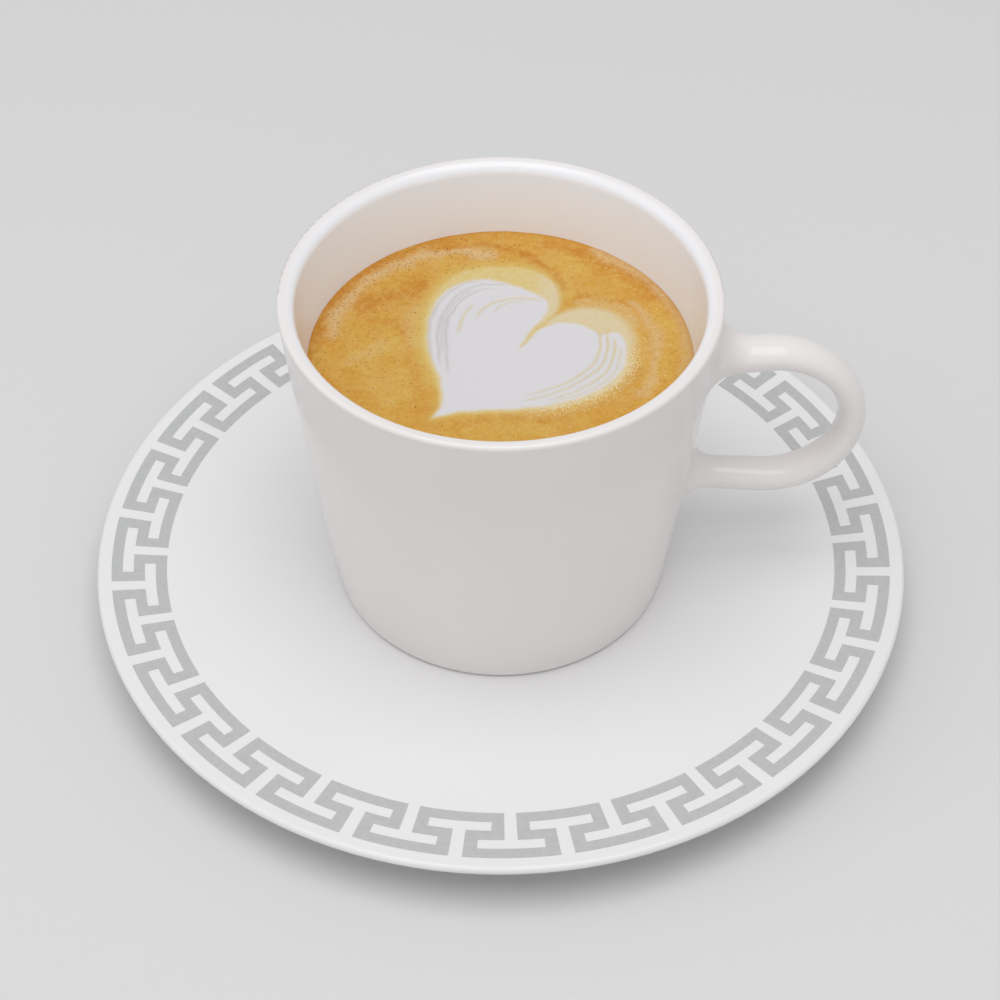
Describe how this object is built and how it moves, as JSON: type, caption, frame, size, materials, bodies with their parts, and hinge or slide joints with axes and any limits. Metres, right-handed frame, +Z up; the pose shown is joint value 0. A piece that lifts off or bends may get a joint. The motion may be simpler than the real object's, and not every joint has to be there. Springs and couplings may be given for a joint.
{
  "type": "latte",
  "caption": "Latte with a poured foam heart in a tapered white cup with an ear handle, on its coupe saucer with a meander border.",
  "frame": {"origin": "the centre of the saucer's foot ring, on the surface it stands on", "axes": "+Z up through the cup; the cup's handle points along +X; +Y lies square to both"},
  "size_m": [0.1704, 0.1704, 0.0814],
  "materials": {
    "saucer_porcelain": "gloss",
    "cup_porcelain": "gloss",
    "coffee": "satin"
  },
  "bodies": {
    "root": {"saucer": "saucer_porcelain", "cup": "cup_porcelain", "latte": "coffee"}
  },
  "joints": []
}
